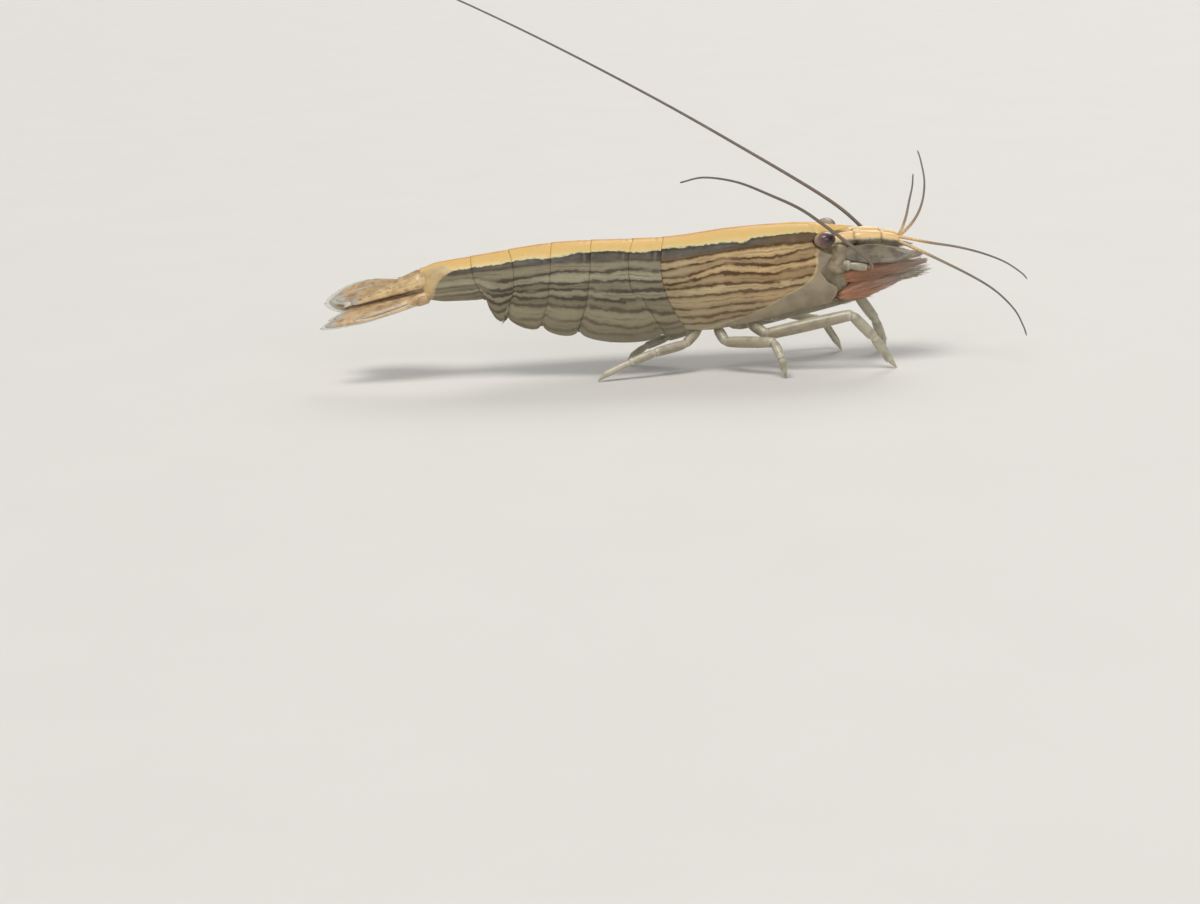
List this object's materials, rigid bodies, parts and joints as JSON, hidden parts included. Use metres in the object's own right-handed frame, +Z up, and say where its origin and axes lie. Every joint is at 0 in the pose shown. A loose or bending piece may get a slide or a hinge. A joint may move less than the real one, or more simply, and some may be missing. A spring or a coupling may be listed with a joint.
{
  "type": "bamboo shrimp",
  "caption": "Life-size still model of an aquarium bamboo shrimp, standing with folded fans, plated shell, pale back stripe and long feelers.",
  "frame": {"origin": "on the floor under the middle of the whole model's box, feelers included", "axes": "+X from tail to head, +Y to the animal's left, +Z up"},
  "size_m": [0.0766, 0.0462, 0.0436],
  "materials": {
    "shell": "satin painted shell",
    "tail": "satin mottled shell",
    "limb": "satin, slightly clear",
    "feeler": "matt",
    "eye": "gloss",
    "fan": "matt, bristled"
  },
  "bodies": {
    "root": {"abdomen_1": "shell", "abdomen_2": "shell", "abdomen_3": "shell", "abdomen_4": "shell", "abdomen_5": "shell", "abdomen_6": "shell", "antenna_base_left": "limb", "antenna_base_right": "limb", "antenna_left": "feeler", "antenna_right": "feeler", "antenna_scale_left": "limb", "antenna_scale_right": "limb", "antennule_base_left": "limb", "antennule_base_right": "limb", "antennule_inner_left": "feeler", "antennule_inner_right": "feeler", "antennule_outer_left": "feeler", "antennule_outer_right": "feeler", "carapace": "shell", "eye_left": "eye", "eye_right": "eye", "eyestalk_left": "limb", "eyestalk_right": "limb", "fan_1_left": "fan", "fan_1_right": "fan", "fan_2_left": "fan", "fan_2_right": "fan", "fan_arm_1_left": "limb", "fan_arm_1_right": "limb", "fan_arm_2_left": "limb", "fan_arm_2_right": "limb", "head": "limb", "leg_3_left": "limb", "leg_3_right": "limb", "leg_4_left": "limb", "leg_4_right": "limb", "leg_5_left": "limb", "leg_5_right": "limb", "maxilliped_left": "limb", "maxilliped_right": "limb", "swimmeret_1_left": "limb", "swimmeret_1_right": "limb", "swimmeret_2_left": "limb", "swimmeret_2_right": "limb", "swimmeret_3_left": "limb", "swimmeret_3_right": "limb", "swimmeret_4_left": "limb", "swimmeret_4_right": "limb", "swimmeret_5_left": "limb", "swimmeret_5_right": "limb", "tail_inner_left": "tail", "tail_inner_right": "tail", "tail_outer_left": "tail", "tail_outer_right": "tail", "telson": "tail"}
  },
  "joints": []
}
